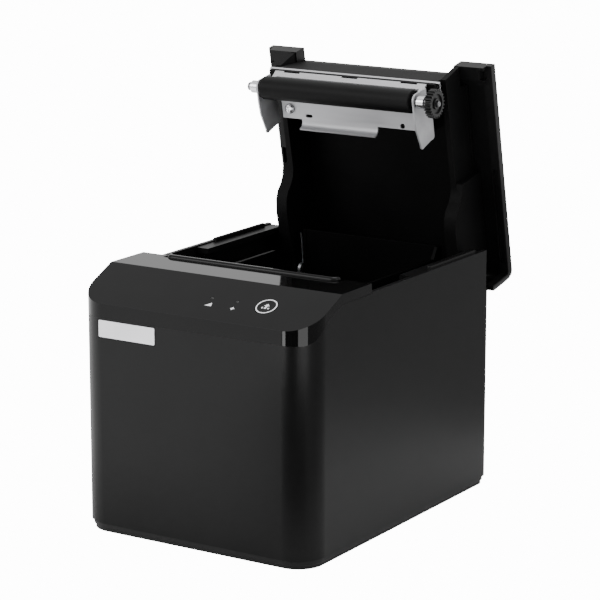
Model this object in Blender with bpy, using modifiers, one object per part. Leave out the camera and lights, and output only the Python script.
"""A counter-top receipt printer with its lid swung open, as separate pieces in metres, +Z up.

Every length below is in millimetres in the case's own frame: X to the right, Y to the back, Z up from
the underside of the base pan, with the origin at the middle of the case in plan. The lid's pieces are
drawn as they lie when the lid is shut, under a pivot empty that swings them open.
"""

import math

import bmesh
import bpy
from mathutils import Matrix, Vector

MM = 0.001
GAP = 0.3                       # clearance between pieces that touch

# ---- driving dimensions of the case ----
HALF_WIDTH = 70.0
HALF_DEPTH = 92.85
FRONT_RADIUS = 16.0             # vertical edges, in plan
REAR_RADIUS = 8.0
WALL = 2.5
LIP_TOP = 2.5                   # the base pan shows below this height
SEAM_HEIGHT = 111.8             # front cover above, housing below
WALL_TOP = 128.6                # side walls' top edge
PLATEAU = 133.1                 # top of the front cover
REAR_WALL_TOP = 107.0
COVER_REAR = -33.7              # where the front cover stops and the lid starts
FOOT_DROP = 2.6

# ---- lid ----
LID_TOP = 133.6
LID_TIP = -33.3
HINGE_Y, HINGE_Z = 87.2, 104.3
OPEN_ANGLE = 78.3               # degrees from shut to open
EAR_INNER = 49.5                # the lid's two ears reach from here to the side
BEAM_END = -26.0                # the lid's edge between the ears

# ---- control panel slope ----
SLOPE_FOOT = (-92.85, 119.0)
SLOPE_HEAD = (-62.0, 133.1)
SLOPE = math.atan2(SLOPE_HEAD[1] - SLOPE_FOOT[1], SLOPE_HEAD[0] - SLOPE_FOOT[0])
PANEL_X_Y = {"feed_button": (36.3, -77.9), "power_light_pipe": (3.7, -77.5), "error_light_pipe": (18.6, -77.5)}

# ---- platen and drive train ----
PLATEN_Y, PLATEN_Z = -26.3, 86.4
PLATEN_RADIUS = 6.25
PLATEN_HALF = 46.3
SHAFT_RADIUS = 2.5
BUSH_RADIUS = 3.4
GEAR_MODULE = 0.6
PLATEN_TEETH, IDLER_TEETH, PINION_TEETH = 24, 44, 12
GEAR_SPAN = (56.7, 60.7)
MESH_SLACK = 0.25               # added to each pair's centre distance

# ---- paper well ----
WELL_HALF = 41.5                # inside, for a roll 80 wide
WELL_WALL = 2.0
WELL_Y, WELL_Z, WELL_RADIUS = 38.0, 86.0, 43.5

# ---- cutter ----
BLADE_TRAVEL = 8.0
FIXED_BLADE_Z = (103.1, 104.1)
BLADE_Z = (FIXED_BLADE_Z[1] + GAP, FIXED_BLADE_Z[1] + GAP + 0.8)
RACK_MODULE, RACK_TEETH = 0.8, 12

PLATEAU_OPENING = 54.0          # half width of the front cover's opening over the mechanism

MATERIALS = {
    "case_plastic": ((0.028, 0.028, 0.031), 0.42, 0.0),
    "panel_plastic": ((0.016, 0.016, 0.018), 0.12, 0.0),
    "dark_plastic": ((0.010, 0.010, 0.011), 0.55, 0.0),
    "base_plastic": ((0.012, 0.012, 0.013), 0.50, 0.0),
    "foot_rubber": ((0.015, 0.015, 0.015), 0.85, 0.0),
    "platen_rubber": ((0.030, 0.030, 0.031), 0.65, 0.0),
    "sheet_steel": ((0.56, 0.57, 0.58), 0.35, 1.0),
    "shaft_steel": ((0.62, 0.62, 0.62), 0.22, 1.0),
    "spring_steel": ((0.60, 0.60, 0.60), 0.25, 1.0),
    "heat_sink_aluminium": ((0.65, 0.66, 0.67), 0.30, 1.0),
    "gear_plastic": ((0.020, 0.020, 0.021), 0.45, 0.0),
    "circuit_board": ((0.02, 0.12, 0.05), 0.40, 0.0),
    "ceramic": ((0.70, 0.68, 0.62), 0.30, 0.0),
    "light_pipe": ((0.55, 0.62, 0.60), 0.10, 0.0),
    "label_foil": ((0.62, 0.63, 0.64), 0.35, 0.6),
}


# ---------------------------------------------------------------- scene set-up
for old in list(bpy.data.objects):
    bpy.data.objects.remove(old, do_unlink=True)

parts = bpy.data.collections.new("receipt_printer")
cutters = bpy.data.collections.new("cutters")
bpy.context.scene.collection.children.link(parts)
bpy.context.scene.collection.children.link(cutters)
cutters.hide_render = True


def make_material(name):
    """The named finish, as a Principled material."""
    colour, roughness, metallic = MATERIALS[name]
    material = bpy.data.materials.new(name)
    material.use_nodes = True
    shader = material.node_tree.nodes["Principled BSDF"]
    shader.inputs["Base Color"].default_value = (*colour, 1.0)
    shader.inputs["Roughness"].default_value = roughness
    shader.inputs["Metallic"].default_value = metallic
    return material


finishes = {name: make_material(name) for name in MATERIALS}


def pivot(name, at, parent=None, tilt=0.0):
    """An empty at a design position, in mm, for later pieces to hang from; tilt is about X, in degrees."""
    empty = bpy.data.objects.new(name, None)
    empty.empty_display_size = 0.01
    parts.objects.link(empty)
    empty["at"] = at
    empty.parent = parent
    base = Vector(parent["at"]) if parent else Vector((0, 0, 0))
    empty.location = (Vector(at) - base) * MM
    empty.rotation_euler = (math.radians(tilt), 0, 0)
    return empty


# ---------------------------------------------------------------- shape helpers
def new_object(name, mesh, centre, turn=None):
    """An unplaced object whose mesh is about its own origin; centre is its design position in mm."""
    thing = bpy.data.objects.new(name, mesh)
    cutters.objects.link(thing)
    thing.location = Vector(centre) * MM
    if turn is not None:
        thing.rotation_euler = turn.to_euler()
    thing.display_type = "WIRE"
    thing.hide_render = True
    return thing


def box(name, x, y, z):
    """A block between (low, high) pairs along X, Y and Z."""
    mesh = bpy.data.meshes.new(name)
    shape = bmesh.new()
    bmesh.ops.create_cube(shape, size=1.0)
    size = [(high - low) * MM for low, high in (x, y, z)]
    bmesh.ops.scale(shape, vec=size, verts=shape.verts)
    shape.to_mesh(mesh)
    shape.free()
    return new_object(name, mesh, [(low + high) / 2 for low, high in (x, y, z)])


# Local Z of a turned or extruded piece points along the named axis; local X and Y follow in order.
ALONG = {
    "X": Matrix(((0, 0, 1), (1, 0, 0), (0, 1, 0))),
    "Y": Matrix(((1, 0, 0), (0, 0, -1), (0, 1, 0))),
    "Z": Matrix.Identity(3),
}


def middle(axis, across, span):
    """The design point half-way along span, at the two coordinates given across it."""
    half = (span[0] + span[1]) / 2
    return {"X": (half, *across), "Y": (across[0], half, across[1]), "Z": (*across, half)}[axis]


def cylinder(name, axis, across, span, radius, segments=24, tip_radius=None):
    """A rod, disc or cone along an axis; across holds its two other coordinates."""
    mesh = bpy.data.meshes.new(name)
    shape = bmesh.new()
    length = abs(span[1] - span[0]) * MM
    far = radius if tip_radius is None else tip_radius
    bmesh.ops.create_cone(shape, cap_ends=True, segments=segments, radius1=radius * MM,
                          radius2=far * MM, depth=length)
    shape.to_mesh(mesh)
    shape.free()
    return new_object(name, mesh, middle(axis, across, span), ALONG[axis])


def mesh_of_curve(thing):
    """A curve object's evaluated shape as a closed mesh object in the same place."""
    bpy.context.view_layer.update()
    graph = bpy.context.evaluated_depsgraph_get()
    mesh = bpy.data.meshes.new_from_object(thing.evaluated_get(graph))
    shape = bmesh.new()
    shape.from_mesh(mesh)
    bmesh.ops.remove_doubles(shape, verts=shape.verts, dist=0.000002)
    bmesh.ops.recalc_face_normals(shape, faces=shape.faces)
    shape.to_mesh(mesh)
    shape.free()
    name = thing.name
    place = thing.matrix_world.copy()
    curve = thing.data
    bpy.data.objects.remove(thing, do_unlink=True)
    bpy.data.curves.remove(curve)
    made = new_object(name, mesh, (0, 0, 0))
    made.matrix_world = place
    return made


def prism(name, axis, outline, span):
    """A flat outline, in the two coordinates across the axis, extruded along it."""
    curve = bpy.data.curves.new(name, "CURVE")
    curve.dimensions = "2D"
    curve.fill_mode = "BOTH"
    curve.extrude = abs(span[1] - span[0]) / 2 * MM
    spline = curve.splines.new("POLY")
    spline.points.add(len(outline) - 1)
    for point, (u, v) in zip(spline.points, outline):
        point.co = (u * MM, v * MM, 0, 1)
    spline.use_cyclic_u = True
    thing = bpy.data.objects.new(name, curve)
    cutters.objects.link(thing)
    thing.location = Vector(middle(axis, (0, 0), span)) * MM
    thing.rotation_euler = ALONG[axis].to_euler()
    return mesh_of_curve(thing)


def turned(name, axis, across, start, profile, steps=24):
    """A lathe shape along an axis: profile holds (radius, distance from start) from the far end back."""
    mesh = bpy.data.meshes.new(name)
    mesh.from_pydata([(radius * MM, 0, height * MM) for radius, height in profile],
                     [(i, i + 1) for i in range(len(profile) - 1)], [])
    thing = new_object(name, mesh, middle(axis, across, (start, start)), ALONG[axis])
    screw = thing.modifiers.new("lathe", "SCREW")
    screw.steps = screw.render_steps = steps
    screw.use_merge_vertices = True
    screw.merge_threshold = 0.00001
    return thing


def wire(name, points, radius):
    """A bent wire through design points, as a closed mesh."""
    curve = bpy.data.curves.new(name, "CURVE")
    curve.dimensions = "3D"
    curve.bevel_depth = radius * MM
    curve.bevel_resolution = 1
    curve.use_fill_caps = True
    spline = curve.splines.new("POLY")
    spline.points.add(len(points) - 1)
    for point, place in zip(spline.points, points):
        point.co = (*[value * MM for value in place], 1)
    thing = bpy.data.objects.new(name, curve)
    cutters.objects.link(thing)
    return mesh_of_curve(thing)


def arc(centre, radius, start, end, steps):
    """Points on a circle from start to end degrees."""
    turns = [math.radians(start + (end - start) * i / steps) for i in range(steps + 1)]
    return [(centre[0] + radius * math.cos(a), centre[1] + radius * math.sin(a)) for a in turns]


def plan_outline(inset):
    """The case's outline seen from above, drawn in by inset."""
    x, y = HALF_WIDTH - inset, HALF_DEPTH - inset
    front, rear = FRONT_RADIUS - inset, REAR_RADIUS - inset
    return (arc((x - front, -y + front), front, -90, 0, 8) + arc((x - rear, y - rear), rear, 0, 90, 5)
            + arc((-x + rear, y - rear), rear, 90, 180, 5) + arc((-x + front, -y + front), front, 180, 270, 8))


def boolean(target, other, operation):
    step = target.modifiers.new(f"{operation.lower()} {other.name}", "BOOLEAN")
    step.operation = operation
    step.solver = "EXACT"
    step.object = other


def cut(target, *others):
    for other in others:
        boolean(target, other, "DIFFERENCE")


def join(target, *others):
    for other in others:
        boolean(target, other, "UNION")


def hang(thing, parent):
    """Parents a piece or cutter drawn in design coordinates to a pivot."""
    bpy.context.view_layer.update()
    place = thing.matrix_world.copy()
    place.translation -= Vector(parent["at"]) * MM
    thing.parent = parent
    thing.matrix_parent_inverse = Matrix.Identity(4)
    thing.matrix_basis = place


def round_edges(thing, width, segments=2, angle=40):
    bevel = thing.modifiers.new("edges", "BEVEL")
    bevel.width = width * MM
    bevel.segments = segments
    bevel.limit_method = "ANGLE"
    bevel.angle_limit = math.radians(angle)


def finish_piece(thing, finish, parent):
    """Makes a drawn shape one of the printer's pieces, with every shape that cuts or joins it beside it."""
    for step in thing.modifiers:
        if step.type == "BOOLEAN" and step.object.parent is None:
            hang_helpers(step.object, parent)
    hang(thing, parent)
    cutters.objects.unlink(thing)
    parts.objects.link(thing)
    thing.display_type = "TEXTURED"
    thing.hide_render = False
    thing.data.materials.clear()
    thing.data.materials.append(finishes[finish])
    thing.data.shade_smooth()
    thing.data.set_sharp_from_angle(angle=math.radians(35))
    return thing


def hang_helpers(helper, parent):
    for step in helper.modifiers:
        if step.type == "BOOLEAN" and step.object.parent is None:
            hang_helpers(step.object, parent)
    hang(helper, parent)


# The row's origin is under the middle of the open printer's box, on the surface that it stands on.
def open_y(y, z):
    """Where a shut-lid point lies along Y with the lid open."""
    a = math.radians(OPEN_ANGLE)
    return HINGE_Y + (y - HINGE_Y) * math.cos(a) + (z - HINGE_Z) * math.sin(a)


LID_REAR_CORNER_RADIUS = 7.0
corner_y, corner_z = HALF_DEPTH - LID_REAR_CORNER_RADIUS, LID_TOP - LID_REAR_CORNER_RADIUS
REARMOST = open_y(corner_y, corner_z) + LID_REAR_CORNER_RADIUS
root = bpy.data.objects.new("printer_origin", None)
parts.objects.link(root)
root["at"] = (0.0, 0.0, 0.0)
root.location = (0, -(REARMOST - HALF_DEPTH) / 2 * MM, FOOT_DROP * MM)

lid_pivot = pivot("lid_pivot", (0, HINGE_Y, HINGE_Z), root, tilt=-OPEN_ANGLE)
platen_pivot = pivot("platen_pivot", (0, PLATEN_Y, PLATEN_Z), lid_pivot)


# ---------------------------------------------------------------- base pan, feet and main board
def base_pan():
    pan = prism("base_pan", "Z", plan_outline(1.1), (0, 2.2))
    collar = prism("base_pan_collar", "Z", plan_outline(WALL + GAP), (1.0, 7.5))
    pocket = prism("base_pan_pocket", "Z", plan_outline(WALL + GAP + 2), (2.2, 9))
    cut(collar, pocket)
    join(pan, collar)
    for x, y in BOARD_POSTS:
        join(pan, cylinder("board_post", "Z", (x, y), (1.5, 11.6), 3.2, 16))
    finish_piece(pan, "base_plastic", root)


BOARD_POSTS = [(-52, -40), (52, -40), (-52, 62), (52, 62)]
FEET = {"foot_front_left": (-58, -74), "foot_front_right": (58, -74),
        "foot_rear_left": (-59, 79), "foot_rear_right": (59, 79)}


def feet():
    for name, (x, y) in FEET.items():
        profile = [(0, -0.3), (5.6, -0.3), (5.6, -2.1), (5.1, -FOOT_DROP), (0, -FOOT_DROP)]
        foot = turned(name, "Z", (x, y), 0, profile, 20)
        finish_piece(foot, "foot_rubber", root)


def main_board():
    board = box("main_board", (-60, 60), (-62, 86), (12, 13.6))
    for name, x, y, z, size in (("chip", -10, 0, 13.4, (16, 16, 1.8)), ("inductor", 25, 20, 13.4, (12, 12, 8)),
                                ("ribbon_socket", 20, -50, 13.4, (30, 5, 6))):
        join(board, box(name, (x - size[0] / 2, x + size[0] / 2), (y - size[1] / 2, y + size[1] / 2),
                        (z, z + size[2])))
    finish_piece(board, "circuit_board", root)
    for number, (x, y) in enumerate(BOARD_POSTS, 1):
        profile = [(0, 16.0), (2.6, 16.0), (3.0, 15.4), (3.0, 13.9), (0, 13.9)]
        finish_piece(turned(f"board_screw_{number}", "Z", (x, y), 0, profile, 14), "shaft_steel", root)


# ---------------------------------------------------------------- housing
def seam(lift):
    """The joint line between housing and front cover, seen from the side, raised by lift."""
    line = [(-100, SEAM_HEIGHT), (-88.5, SEAM_HEIGHT), (-83.5, 114.2), (-78.5, 119.0), (-74.4, 122.5),
            (-68.8, 125.2), (-60.6, 127.9), (COVER_REAR + 0.4, 127.9)]
    return [(y, z + lift) for y, z in line]


CONNECTORS = {
    # name: centre X, (width, height), depth of the socket
    "power_jack": (-24.0, (14.0, 13.0), 9.0),
    "drawer_port": (-2.0, (12.0, 12.0), 9.0),
    "usb_port": (18.0, (12.0, 11.0), 8.0),
    "network_port": (40.0, (16.0, 13.5), 10.0),
}
CONNECTOR_FLOOR = 13.9
SWITCH_X, SWITCH_Z = -48.0, 24.0


def housing():
    shell = prism("housing", "Z", plan_outline(0), (LIP_TOP, WALL_TOP))
    cut(shell, prism("housing_inside", "Z", plan_outline(WALL), (-1, 140)))
    above = seam(-GAP / 2) + [(COVER_REAR + 0.4, 140), (-100, 140)]
    cut(shell, prism("housing_above_seam", "X", above, (-80, 80)))
    rear = [(85.5, REAR_WALL_TOP), (100, REAR_WALL_TOP), (100, 140), (85.5, 140)]
    cut(shell, prism("housing_above_rear", "X", rear, (-80, 80)))
    for side in (-1, 1):
        def across(a, b):
            return tuple(sorted((side * a, side * b)))

        ledge = box("ledge", across(59.6, 68.5), (11.0, 85.0), (124.8, 127.9))
        bar = box("locating_bar", across(65.9, 68.1), (28.0, 77.0), (127.0, 130.2))
        round_edges(bar, 0.8, 2)
        join(shell, ledge, bar)
        inner = box("hinge_lug_inner", across(44.2, 46.5), (83.9, 90.8), (88.0, HINGE_Z))
        outer = box("hinge_lug_outer", across(58.0, 63.0), (83.0, 90.8), (88.0, HINGE_Z))
        baffle = box("hinge_baffle", across(57.5, 68.0), (83.3, 85.0), (88.0, 125.5))
        join(shell, inner, outer, baffle)
        join(shell, cylinder("lug_eye_inner", "X", (HINGE_Y, HINGE_Z), across(44.2, 46.5), 3.9, 20))
        join(shell, cylinder("lug_eye_outer", "X", (HINGE_Y, HINGE_Z), across(58.0, 63.0), 3.9, 20))
        cut(shell, box("arm_notch", across(46.8, 57.7), (84.0, 99.0), (98.5, 120)))
        cut(shell, cylinder("lug_bore", "X", (HINGE_Y, HINGE_Z), across(40.0, 62.0), 2.0 + GAP, 20))
    cut(shell, box("label_recess", (-55.9, -20.6), (-94, -92.25), (101.2, 110.8)))
    for name, (x, (width, height), _) in CONNECTORS.items():
        cut(shell, box(f"{name}_hole", (x - width / 2 - GAP, x + width / 2 + GAP), (88, 95),
                       (CONNECTOR_FLOOR - GAP, CONNECTOR_FLOOR + height + GAP)))
    cut(shell, box("switch_hole", (SWITCH_X - 6.8, SWITCH_X + 6.8), (88, 95), (SWITCH_Z - 9.8, SWITCH_Z + 9.8)))
    finish_piece(shell, "case_plastic", root)


def label():
    plate = box("label_plate", (-55.5, -21.0), (-92.95, -92.55), (101.6, 110.4))
    finish_piece(plate, "label_foil", root)


# ---------------------------------------------------------------- front cover and its controls
def panel_point(x, y, depth=0.0):
    """A design point on the control slope, or depth below it along its normal."""
    z = SLOPE_FOOT[1] + (y - SLOPE_FOOT[0]) * math.tan(SLOPE)
    return Vector((x, y + depth * math.sin(SLOPE), z - depth * math.cos(SLOPE)))


def on_slope(thing, x, y, depth=0.0):
    """Turns a piece whose axis is Z to stand square on the control slope."""
    thing.location = panel_point(x, y, depth) * MM
    thing.rotation_euler = (SLOPE, 0, 0)
    return thing


def front_cover():
    inside = 2.2
    outline = seam(GAP / 2) + [(COVER_REAR, 128.2), (COVER_REAR, PLATEAU), SLOPE_HEAD, SLOPE_FOOT,
                               (-100, SLOPE_FOOT[1])]
    shell = prism("front_cover", "X", outline, (-80, 80))
    boolean(shell, prism("front_cover_plan", "Z", plan_outline(0), (90, 150)), "INTERSECT")
    round_edges(shell, 0.9, 2)
    drop = inside / math.cos(SLOPE)
    hollow = [(-100, 90), (-36, 90), (-36, PLATEAU - inside), (SLOPE_HEAD[0] + 0.5, PLATEAU - inside),
              (SLOPE_FOOT[0], SLOPE_FOOT[1] - drop + 0.6), (-100, SLOPE_FOOT[1] - drop - 2.6)]
    space = prism("front_cover_inside", "X", hollow, (-80, 80))
    boolean(space, prism("front_cover_inside_plan", "Z", plan_outline(inside), (80, 150)), "INTERSECT")
    cut(shell, space)
    cut(shell, box("mechanism_opening", (-PLATEAU_OPENING, PLATEAU_OPENING), (-38.4, -20), (90, 150)))
    for name, radius in (("feed_button", 6.15), ("power_light_pipe", 1.4), ("error_light_pipe", 1.4)):
        hole = cylinder(f"{name}_hole", "Z", (0, 0), (-5, 5), radius, 28)
        cut(shell, on_slope(hole, *PANEL_X_Y[name]))
    finish_piece(shell, "panel_plastic", root)


def panel_controls():
    x, y = PANEL_X_Y["feed_button"]
    button_pivot = pivot("feed_button_pivot", tuple(panel_point(x, y)), root)
    profile = [(0, 0.15), (5.4, 0.15), (5.8, -0.25), (5.8, -3.6), (0, -3.6)]
    button = turned("feed_button", "Z", (0, 0), 0, profile, 28)
    finish_piece(on_slope(button, x, y), "panel_plastic", button_pivot)
    for name in ("power_light_pipe", "error_light_pipe"):
        profile = [(0, 0.05), (1.05, 0.05), (1.05, -4.6), (0, -4.6)]
        finish_piece(on_slope(turned(name, "Z", (0, 0), 0, profile, 14), *PANEL_X_Y[name]), "light_pipe", root)
    board = box("panel_board", (-26, 26), (-9, 9), (-0.8, 0.8))
    switch = box("button_switch", (-3, 3), (-3, 3), (0.5, 3.1))
    centre_x = 22.0
    switch.location = panel_point(x, y, 6.6) * MM
    switch.rotation_euler = (SLOPE, 0, 0)
    join(board, switch)
    finish_piece(on_slope(board, centre_x, y, 8.0), "circuit_board", root)


# ---------------------------------------------------------------- paper well
def paper_well():
    outer = WELL_RADIUS + WELL_WALL
    lip = 76.0
    rear_top = 128.3
    lip_angle = -180 + math.degrees(math.asin((WELL_Z - lip) / outer))
    rear = WELL_Y + outer
    outline = ([(rear, rear_top), (rear, WELL_Z)] + arc((WELL_Y, WELL_Z), outer, 0, lip_angle, 18)[1:]
               + [(-1, 78), (-1, 122), (75, 122), (79, rear_top)])
    well = prism("paper_well", "X", outline, (-WELL_HALF - WELL_WALL, WELL_HALF + WELL_WALL))
    inner_angle = -180 + math.degrees(math.asin((WELL_Z - lip) / WELL_RADIUS))
    inside = ([(WELL_Y + WELL_RADIUS, 150), (WELL_Y + WELL_RADIUS, WELL_Z)]
              + arc((WELL_Y, WELL_Z), WELL_RADIUS, 0, inner_angle, 18)[1:] + [(-20, lip), (-20, 150)])
    cut(well, prism("paper_well_inside", "X", inside, (-WELL_HALF, WELL_HALF)))
    cut(well, box("spring_notch", (-50, -40), (50.0, 81.0), (97.0, 140.0)))
    join(well, box("paper_guide", (-41, 41), (-30.5, -5.0), (73.4, 75.6)))
    finish_piece(well, "dark_plastic", root)


# ---------------------------------------------------------------- print mechanism
FRAME_X = (51.0, 52.2)
UPRIGHT_HEAD_PIN = (-37.3, 79.0)        # before the head is tilted about the platen
HEAD_TILT = math.degrees(math.atan2(HINGE_Z - PLATEN_Z, HINGE_Y - PLATEN_Y))


def tilted(y, z):
    """A point of the upright head once it is tilted to lie along the platen's path."""
    a = math.radians(HEAD_TILT)
    y, z = y - PLATEN_Y, z - PLATEN_Z
    return (PLATEN_Y + y * math.cos(a) - z * math.sin(a), PLATEN_Z + y * math.sin(a) + z * math.cos(a))


HEAD_PIN = tilted(*UPRIGHT_HEAD_PIN)


def mechanism_frame():
    side = [(-76, 40), (-58, 40), (-50, 48), (-12, 48), (-12, 79), (-19, 90), (-33.6, 90), (-34.4, 100.2),
            (-76, 100.2)]
    frame = prism("mechanism_frame", "X", side, (-FRAME_X[1], FRAME_X[1]))
    cut(frame, box("frame_inside_upper", (-FRAME_X[0], FRAME_X[0]), (-80, 0), (72.6, 130)))
    cut(frame, box("frame_inside_lower", (-FRAME_X[0], FRAME_X[0]), (-80, 0), (30, 71.4)))
    join(frame, box("spring_wall", (-51.5, 51.5), (-50.2, -49.0), (72.0, 98.6)))
    cut(frame, box("bearing_slot", (-60, 60), (PLATEN_Y - BUSH_RADIUS - 0.9, PLATEN_Y + BUSH_RADIUS + 0.4),
                   (PLATEN_Z - BUSH_RADIUS - 0.35, 130)))
    cut(frame, cylinder("head_pin_bore", "X", HEAD_PIN, (-60, 60), 1.5 + GAP, 16))
    cut(frame, cylinder("motor_bore", "X", MOTOR, (48, 60), 4.2, 20))
    cut(frame, cylinder("idler_pin_bore", "X", IDLER, (48, 60), 1.5 + GAP, 16))
    cut(frame, cylinder("lock_bore", "X", LOCK, (-60, 60), 2.0 + GAP, 16))
    finish_piece(frame, "sheet_steel", root)


def gear_outline(teeth, module, slim=0.42, phase=0.0):
    """A spur gear seen along its axis: straight-sided teeth, with one tooth centred at phase degrees."""
    pitch = teeth * module / 2
    tip, base = pitch + 0.85 * module, pitch - 1.15 * module
    step = 2 * math.pi / teeth
    points = []
    for tooth in range(teeth):
        middle_angle = math.radians(phase) + tooth * step
        for radius, share in ((base, -0.80), (pitch, -0.5), (tip, -0.25), (tip, 0.25), (pitch, 0.5), (base, 0.80)):
            angle = middle_angle + share * slim * step
            points.append((radius * math.cos(angle), radius * math.sin(angle)))
    return points


# Shut, the platen gear drops onto the idler along the hinge's arc; the idler sits on that line.
reach = (PLATEN_Y - HINGE_Y, PLATEN_Z - HINGE_Z)
drop_direction = math.atan2(reach[0], -reach[1])
PLATEN_TO_IDLER = (PLATEN_TEETH + IDLER_TEETH) * GEAR_MODULE / 2 + MESH_SLACK
IDLER = (PLATEN_Y + PLATEN_TO_IDLER * math.cos(drop_direction),
         PLATEN_Z + PLATEN_TO_IDLER * math.sin(drop_direction))
IDLER_TO_MOTOR = (IDLER_TEETH + PINION_TEETH) * GEAR_MODULE / 2 + MESH_SLACK
MOTOR_DIRECTION = math.radians(-140)
MOTOR = (IDLER[0] + IDLER_TO_MOTOR * math.cos(MOTOR_DIRECTION),
         IDLER[1] + IDLER_TO_MOTOR * math.sin(MOTOR_DIRECTION))
LOCK = (-43.0, 82.4)


def gear(name, axis, at, span, teeth, module, bore, phase, parent, hub=None):
    """A spur gear on its pivot."""
    wheel = prism(name, axis, gear_outline(teeth, module, phase=phase), span)
    wheel.location = Vector(middle(axis, at, span)) * MM
    if hub:
        join(wheel, cylinder(f"{name}_hub", axis, at, hub[0], hub[1], 20))
    if bore:
        cut(wheel, cylinder(f"{name}_bore", axis, at, (span[0] - 9, span[1] + 9), bore, 20))
    return finish_piece(wheel, "gear_plastic", parent)


def drive_train():
    toward_platen = math.degrees(drop_direction) + 180
    gear("platen_gear", "X", (PLATEN_Y, PLATEN_Z), GEAR_SPAN, PLATEN_TEETH, GEAR_MODULE, 1.5 + GAP,
         math.degrees(drop_direction), platen_pivot)
    idler_pivot = pivot("idler_pivot", (58, *IDLER), root)
    idler_step = 360 / IDLER_TEETH
    gear("idler_gear", "X", IDLER, GEAR_SPAN, IDLER_TEETH, GEAR_MODULE, 1.5 + GAP,
         toward_platen + idler_step / 2, idler_pivot, hub=((54.0, 57.0), 3.2))
    # The pinion's tooth gap faces the idler tooth that is nearest to the line between their centres.
    toward_motor = math.degrees(MOTOR_DIRECTION)
    idler_offset = (toward_motor - (toward_platen + idler_step / 2)) % idler_step
    pinion_step = 360 / PINION_TEETH
    pinion_phase = toward_motor + 180 + idler_offset / idler_step * pinion_step + pinion_step / 2
    pinion_pivot = pivot("motor_pinion_pivot", (58, *MOTOR), root)
    gear("motor_pinion", "X", MOTOR, GEAR_SPAN, PINION_TEETH, GEAR_MODULE, 1.0 + GAP, pinion_phase, pinion_pivot)
    pin_profile = [(0, 12.4), (1.5, 12.4), (1.5, 0.7), (3.0, 0.7), (3.0, -1.0), (0, -1.0)]
    pin = turned("idler_pin", "X", IDLER, 50.0, pin_profile)
    finish_piece(pin, "shaft_steel", root)
    can = [(0, 62.0 - 30), (1.0, 62.0 - 30), (1.0, 23.2), (3.9, 23.2), (3.9, 20.7), (13.0, 20.7), (14.0, 19.7),
           (14.0, 1.0), (13.0, 0), (0, 0)]
    finish_piece(turned("feed_motor", "X", MOTOR, 30.0, can, 28), "sheet_steel", root)


def print_head():
    """The thermal head, its heat sink and pin, and the two springs that press it to the platen."""
    # Both plates are drawn upright and hang from an empty that tilts them about the platen's axis.
    head_tilt = pivot("print_head_tilt", (0, PLATEN_Y, PLATEN_Z), root, tilt=HEAD_TILT)
    head_pivot = pivot("print_head_pivot", (0, *UPRIGHT_HEAD_PIN), head_tilt)
    face = PLATEN_Y - PLATEN_RADIUS - 0.35
    board = box("print_head", (-43, 43), (face - 1.2, face), (80.5, 96.5))
    finish_piece(board, "ceramic", head_pivot)
    back = face - 1.2 - GAP
    sink = box("heat_sink", (-44, 44), (back - 3.0, back), (81.0, 98.0))
    join(sink, cylinder("heat_sink_barrel", "X", UPRIGHT_HEAD_PIN, (-42, 42), 3.0, 20))
    cut(sink, cylinder("heat_sink_bore", "X", UPRIGHT_HEAD_PIN, (-60, 60), 1.5 + GAP, 16))
    for number in range(7):
        x = -33 + 11 * number
        cut(sink, box("heat_sink_slot", (x - 1.6, x + 1.6), (back - 5, back - 1.2), (84.5, 103)))
    finish_piece(sink, "heat_sink_aluminium", head_pivot)
    finish_piece(cylinder("head_pin", "X", HEAD_PIN, (-54.5, 54.5), 1.5, 16), "shaft_steel", root)
    for name, x in (("head_spring_left", -27.5), ("head_spring_right", 27.5)):
        length = -38.5 - (-49.0 + GAP)
        turns, per_turn = 4, 10
        points = []
        for i in range(turns * per_turn + 1):
            angle = 2 * math.pi * i / per_turn
            along = 0.45 + (length - 0.9) * i / (turns * per_turn)
            points.append((x + 2.6 * math.cos(angle), -49.0 + GAP + along, 90.0 + 2.6 * math.sin(angle)))
        finish_piece(wire(name, points, 0.4), "spring_steel", root)


# ---------------------------------------------------------------- cutter
PINION_X, PINION_Y = 30.0, -62.0
RACK_LINE = PINION_X - RACK_MODULE * RACK_TEETH / 2 - 0.25


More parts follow.
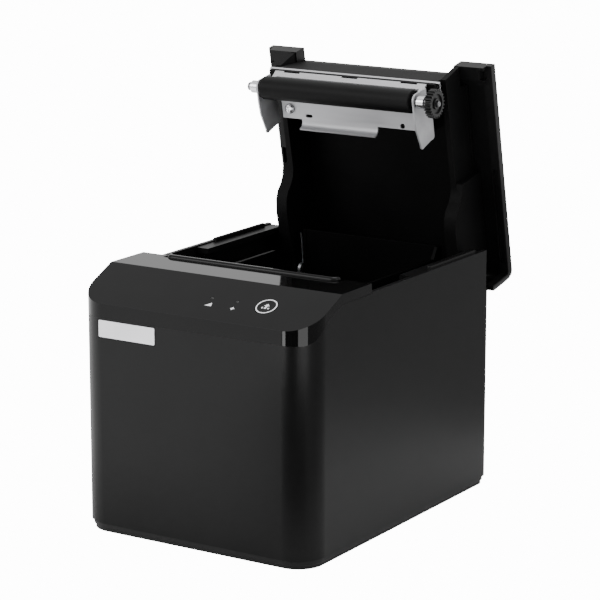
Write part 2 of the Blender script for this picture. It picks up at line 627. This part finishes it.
def cutter():
    bed = box("cutter_bed", (-50.5, 50.5), (-76, -34.6), (100.6, FIXED_BLADE_Z[1]))
    cut(bed, box("bed_window", (-30, 20), (-66, -46), (90, 120)))
    cut(bed, cylinder("bed_pinion_hole", "Z", (PINION_X, PINION_Y), (90, 120), 2.0 + GAP, 20))
    finish_piece(bed, "sheet_steel", root)
    blade_pivot = pivot("cutter_blade_pivot", (0, -50, BLADE_Z[0]), root)
    edge = [(46, -36.5), (46, -75), (-46, -75), (-46, -36.5), (-36, -36.5), (0, -39.5), (36, -36.5)]
    blade = prism("cutter_blade", "Z", edge, BLADE_Z)
    cut(blade, box("blade_window", (RACK_LINE - 1.0, 40.0), (-80, -55.5), (90, 120)))
    pitch = math.pi * RACK_MODULE
    thick = 0.40 * pitch
    for tooth in range(-4, 2):
        y = PINION_Y + tooth * pitch
        flank = [(RACK_LINE - 1.3, y - 0.8 * thick), (RACK_LINE, y - 0.5 * thick),
                 (RACK_LINE + 0.65, y - 0.25 * thick), (RACK_LINE + 0.65, y + 0.25 * thick),
                 (RACK_LINE, y + 0.5 * thick), (RACK_LINE - 1.3, y + 0.8 * thick)]
        join(blade, prism("rack_tooth", "Z", flank, BLADE_Z))
    finish_piece(blade, "shaft_steel", blade_pivot)
    pinion_pivot = pivot("cutter_pinion_pivot", (PINION_X, PINION_Y, BLADE_Z[0]), root)
    # Facing the rack, the pinion shows the middle of a tooth gap.
    pinion_span = (BLADE_Z[0] + 0.05, BLADE_Z[0] + 3.6)
    gear("cutter_pinion", "Z", (PINION_X, PINION_Y), pinion_span, RACK_TEETH, RACK_MODULE, 1.0 + GAP,
         180.0 + 180 / RACK_TEETH, pinion_pivot)
    can = [(0, 108.4), (1.0, 108.4), (1.0, 103.0), (2.0, 103.0), (2.0, 100.0), (9.0, 100.0), (10.0, 99.0),
           (10.0, 83.0), (0, 83.0)]
    finish_piece(turned("cutter_motor", "Z", (PINION_X, PINION_Y), 0, can, 24), "sheet_steel", root)
    top = box("cutter_cover", (-53.4, 53.4), (-38.1, -34.7), (108.8, 131.4))
    plate = box("cutter_cover_plate", (-53.4, 53.4), (-57.0, -36.0), (120.0, 122.0))
    join(top, plate)
    rear_y, corner_y, front_y, level = -35.2, -36.2, -36.8, 132.3
    half = [(-52.2, rear_y), (-52.5, corner_y), (-51.4, front_y)]
    rim_path = [(x, y, level) for x, y in half] + [(-x, y, level) for x, y in reversed(half)]
    join(top, wire("cutter_cover_rim", rim_path, 1.5))
    finish_piece(top, "dark_plastic", root)


# ---------------------------------------------------------------- platen lock
LOCK_BACK = 26.0                # degrees that the hooks stand back at rest


def platen_lock():
    """A shaft with a hook at each end that swings over the platen's bushes when the lid is shut."""
    lock_pivot = pivot("platen_lock_pivot", (0, *LOCK), root)
    finish_piece(cylinder("lock_shaft", "X", LOCK, (-56.5, 56.5), 2.0, 18), "shaft_steel", lock_pivot)
    y, z = LOCK
    outline = [(y - 3.6, z - 3.6), (y + 3.6, z - 3.6), (y + 5.0, z + 3.0), (y + 7.5, z + 8.5), (y + 14.5, z + 8.3),
               (y + 15.0, z + 11.5), (y + 4.0, z + 12.8), (y - 3.6, z + 3.6)]
    back = Matrix.Rotation(math.radians(LOCK_BACK), 2)
    swung = []
    for u, v in outline:
        turned_back = back @ Vector((u - y, v - z))
        swung.append((turned_back.x + y, turned_back.y + z))
    for name, span in (("lock_hook_left", (-54.3, -52.8)), ("lock_hook_right", (52.8, 54.3))):
        hook = prism(name, "X", swung, span)
        cut(hook, cylinder(f"{name}_bore", "X", LOCK, (-60, 60), 2.0 + GAP, 18))
        finish_piece(hook, "sheet_steel", lock_pivot)


# ---------------------------------------------------------------- rear connectors and power switch
def connectors():
    finishes_by_name = {"power_jack": "dark_plastic", "drawer_port": "dark_plastic", "usb_port": "sheet_steel",
                        "network_port": "sheet_steel"}
    for name, (x, (width, height), depth) in CONNECTORS.items():
        low, high = CONNECTOR_FLOOR, CONNECTOR_FLOOR + height
        socket = box(name, (x - width / 2, x + width / 2), (92.2 - depth - 4, 92.2), (low, high))
        cut(socket, box(f"{name}_socket", (x - width / 2 + 1.4, x + width / 2 - 1.4), (92.2 - depth, 95),
                        (low + 1.4, high - 1.4)))
        finish_piece(socket, finishes_by_name[name], root)
    body = box("switch_frame", (SWITCH_X - 6.5, SWITCH_X + 6.5), (80.0, 93.4), (SWITCH_Z - 9.5, SWITCH_Z + 9.5))
    mouth_x, mouth_z = (SWITCH_X - 5.2, SWITCH_X + 5.2), (SWITCH_Z - 8.2, SWITCH_Z + 8.2)
    cut(body, box("switch_mouth", mouth_x, (84.0, 99.0), mouth_z))
    finish_piece(body, "dark_plastic", root)
    rocker_pivot = pivot("power_rocker_pivot", (SWITCH_X, 90.0, SWITCH_Z), root)
    face = [(88.2, -7.2), (93.0, -7.2), (92.2, 0.0), (94.4, 7.2), (88.2, 7.2)]
    rocker = prism("power_rocker", "X", [(y, SWITCH_Z + z) for y, z in face], (SWITCH_X - 4.9, SWITCH_X + 4.9))
    finish_piece(rocker, "dark_plastic", rocker_pivot)


# ---------------------------------------------------------------- lid
SKIN = 2.4
SKIRT_END = 111.5
SKIRT_RADIUS = 28.0


def lid_shell():
    def profile(inset, front, underside, bottom):
        """The lid's skin seen from the side, drawn in by inset from the outside."""
        top = LID_TOP - inset
        small, large = LID_REAR_CORNER_RADIUS - inset, SKIRT_RADIUS - inset
        centre = (HALF_DEPTH - SKIRT_RADIUS, corner_z)
        end = -math.degrees(math.asin((corner_z - bottom) / large))
        return ([(front, underside), (front, top)] + arc((corner_y, corner_z), small, 90, 0, 5)
                + arc(centre, large, 0, end, 6)[1:])

    outline = profile(0, LID_TIP, WALL_TOP + GAP, SKIRT_END) + [(85.8, SKIRT_END), (85.8, WALL_TOP + GAP)]
    shell = prism("lid_shell", "X", outline, (-80, 80))
    boolean(shell, prism("lid_plan", "Z", plan_outline(0), (100, 150)), "INTERSECT")
    round_edges(shell, 0.7, 2, 50)
    pocket = profile(SKIN, -22.0, 100.0, 108.0) + [(60.0, 100.0)]
    cut(shell, prism("lid_pocket", "X", pocket, (-65, 65)))
    cut(shell, box("lid_mouth", (-EAR_INNER, EAR_INNER), (-50, BEAM_END), (110, 150)))
    for side in (-1, 1):
        x = tuple(sorted((side * EAR_INNER, side * 67.2)))
        ear = box("ear", x, (LID_TIP, BEAM_END), (125.0, 130.0))
        groove = box("bar_groove", tuple(sorted((side * 65.4, side * 68.6))), (25.5, 79.5), (120.0, 130.8))
        join(shell, ear)
        pocket = box("catch_pocket", tuple(sorted((side * 64.8, side * 68.0))), (-31.6, -26.2), (120.0, 128.5))
        cut(shell, groove, pocket)
    finish_piece(shell, "case_plastic", lid_pivot)


LINER_TOP = LID_TOP - SKIN - GAP
CHEEK = (50.0, 53.0)
ARM = (50.0, 57.0)


def lid_liner():
    """The black moulding inside the lid: cheeks, hinge arms, chute wall and the platen's ribs."""
    web = box("lid_liner", (-54, 54), (-21.6, 82.0), (LINER_TOP - 2.0, LINER_TOP))
    chute = [(-26.9, 128.6), (-31.1, 105.6), (-28.0, 105.6), (-22.6, 128.6)]
    join(web, prism("chute_wall", "X", chute, (-49.2, 49.2)))
    for side in (-1, 1):
        cheek = [(-30.8, 109.6), (-33.0, 124.6), (-21.6, 124.6), (-21.6, LINER_TOP - 0.5), (60, LINER_TOP - 0.5),
                 (60, 106.0), (30.0, 110.0)]
        arm = ([(28.0, LINER_TOP - 0.7), (28.0, 110.5), (34.0, 108.6), (37.5, 106.0), (40.5, 102.2), (44.5, 99.8),
                (52.0, 98.5), (82.0, 99.6)] + arc((HINGE_Y, HINGE_Z), 5.0, -110, 95, 9)
               + [(80.5, 112.0), (80.5, LINER_TOP - 0.7)])
        join(web, prism("cheek", "X", cheek, tuple(sorted((side * CHEEK[0], side * CHEEK[1])))))
        join(web, prism("arm", "X", arm, tuple(sorted((side * ARM[0], side * ARM[1])))))
        rib = [(-21.5, 95.4), (-21.5, 102.8), (-21.5, 110.0), (-26.0, 116.0), (-24.5, 128.5),
               (-21.6, 128.5), (-21.6, LINER_TOP - 1.0), (6.0, LINER_TOP - 1.0),
               (-6.5, 95.4)]
        join(web, prism("platen_rib", "X", rib, tuple(sorted((side * 30.0, side * 33.0)))))
        cut(web, cylinder("arm_bore", "X", (HINGE_Y, HINGE_Z), tuple(sorted((side * 45.0, side * 60.0))),
                          2.0 + GAP, 20))
    cheek_tie = prism("platen_tie", "X", [(-21.4, 96.5), (-21.4, 112.0), (-18, 112.0), (-18, 96.5)], (-50.8, 50.8))
    join(web, cheek_tie)
    finish_piece(web, "dark_plastic", lid_pivot)


BRACKET_Z = 94.0
EAR_PLATE = (47.9, 48.8)


SHEET = 0.9


def bent_sheet(path, thickness):
    """The closed outline of a bent sheet, from the line along one of its faces."""
    other = []
    for i, point in enumerate(path):
        before, after = path[max(i - 1, 0)], path[min(i + 1, len(path) - 1)]
        along = Vector((after[0] - before[0], after[1] - before[1])).normalized()
        other.append((point[0] - along.y * thickness, point[1] + along.x * thickness))
    return path + other[::-1]


def platen_bracket():
    """Bent steel sheet: a web, a notched front flange, a rolled rear lip and two leaf-shaped ears."""
    fold = [(-31.4, 99.8), (-29.6, 96.4), (-29.0, BRACKET_Z + 0.6), (-28.0, BRACKET_Z), (-7.0, BRACKET_Z)]
    web = prism("platen_bracket", "X", bent_sheet(fold, SHEET), (-47.0, 47.0))
    curl = [(-9.5, BRACKET_Z)] + arc((-6.0, 91.0), 3.0, 100, 20, 5) + [(-2.6, 89.6)]
    join(web, prism("bracket_lip", "X", bent_sheet(curl, SHEET), (-31.0, 17.5)))
    for x in (-36.5, 0.0, 36.5):
        cut(web, box("flange_notch", (x - 5.0, x + 5.0), (-36, -28), (99.0, 102.0)))
    for side in (-1, 1):
        cut(web, box("corner_notch", tuple(sorted((side * 41.5, side * 47.5))), (-20.0, 2), (90, 98)))
        ear = ([(-30.6, BRACKET_Z + 2.0), (-30.9, 86.0)] + arc((-27.5, 85.5), 3.4, 180, 270, 4)
               + [(-19.0, 82.0), (-12.0, 82.7), (-2.0, 86.0)] + arc((-1.2, 87.4), 1.4, -70, 30, 3)
               + [(-1.4, 96.0)] + arc((-3.2, 98.4), 1.8, 0, 90, 3)
               + [(-12.0, 100.2), (-15.0, 98.0), (-18.0, BRACKET_Z + 2.0)])
        strap = box("ear_strap", tuple(sorted((side * 45.5, side * 48.5))), (-28.0, -20.5),
                    (BRACKET_Z, BRACKET_Z + SHEET))
        join(web, prism("bracket_ear", "X", ear, tuple(sorted((side * EAR_PLATE[0], side * EAR_PLATE[1])))), strap)
    cut(web, cylinder("bracket_bore", "X", (PLATEN_Y, PLATEN_Z), (-60, 60), SHAFT_RADIUS + GAP, 20))
    cut(web, box("bracket_long_hole", (-26.8, -22.6), (-10.1, -8.3), (90, 98)))
    cut(web, cylinder("bracket_round_hole", "Z", (33.5, -8.8), (90, 98), 1.5, 16))
    finish_piece(web, "sheet_steel", lid_pivot)
    profile = [(0, -0.3), (2.8, -0.3), (2.8, -1.3), (2.2, -1.9), (0, -1.9)]
    screw = turned("bracket_screw", "Z", (-36.5, -12.6), BRACKET_Z, profile, 16)
    finish_piece(screw, "shaft_steel", lid_pivot)
    blade = box("fixed_blade", (-53.0, 53.0), (-31.7, -22.0), FIXED_BLADE_Z)
    finish_piece(blade, "shaft_steel", lid_pivot)


def platen():
    rubber = turned("platen_rubber", "X", (PLATEN_Y, PLATEN_Z), 0,
                    [(SHAFT_RADIUS + 0.3, PLATEN_HALF), (PLATEN_RADIUS - 0.4, PLATEN_HALF),
                     (PLATEN_RADIUS, PLATEN_HALF - 0.4), (PLATEN_RADIUS, -PLATEN_HALF + 0.4),
                     (PLATEN_RADIUS - 0.4, -PLATEN_HALF), (SHAFT_RADIUS + 0.3, -PLATEN_HALF),
                     (SHAFT_RADIUS + 0.3, PLATEN_HALF)], 32)
    finish_piece(rubber, "platen_rubber", platen_pivot)
    shaft = turned("platen_shaft", "X", (PLATEN_Y, PLATEN_Z), 0,
                   [(0, 62.0), (1.25, 62.0), (1.5, 61.7), (1.5, 56.0), (SHAFT_RADIUS, 56.0), (SHAFT_RADIUS, -55.6),
                    (SHAFT_RADIUS - 0.4, -56.0), (0, -56.0)], 24)
    finish_piece(shaft, "shaft_steel", platen_pivot)
    for name, span in (("platen_bush_left", (-53.6, -49.6)), ("platen_bush_right", (49.6, 53.6))):
        bush = cylinder(name, "X", (PLATEN_Y, PLATEN_Z), span, BUSH_RADIUS, 24)
        cut(bush, cylinder(f"{name}_bore", "X", (PLATEN_Y, PLATEN_Z), (span[0] - 5, span[1] + 5),
                           SHAFT_RADIUS + GAP, 24))
        finish_piece(bush, "shaft_steel", lid_pivot)


def hinge():
    for name, side in (("hinge_pin_left", -1), ("hinge_pin_right", 1)):
        span = tuple(sorted((side * 44.6, side * 61.6)))
        finish_piece(cylinder(name, "X", (HINGE_Y, HINGE_Z), span, 2.0, 18), "shaft_steel", root)
    radius, start, turns, per_turn = 3.1, -49.3, 2, 10
    points = [(start, 68.8, HINGE_Z + 4.9)]
    for i in range(turns * per_turn + 1):
        angle = math.radians(79) - 2 * math.pi * i / per_turn
        points.append((start + 2.0 * i / (turns * per_turn), HINGE_Y + radius * math.cos(angle),
                       HINGE_Z + radius * math.sin(angle)))
    finish_piece(wire("lid_spring", points, 0.4), "spring_steel", lid_pivot)


base_pan()
feet()
main_board()
housing()
label()
front_cover()
panel_controls()
paper_well()
mechanism_frame()
drive_train()
print_head()
cutter()
platen_lock()
connectors()
lid_shell()
lid_liner()
platen_bracket()
platen()
hinge()
bpy.context.view_layer.update()
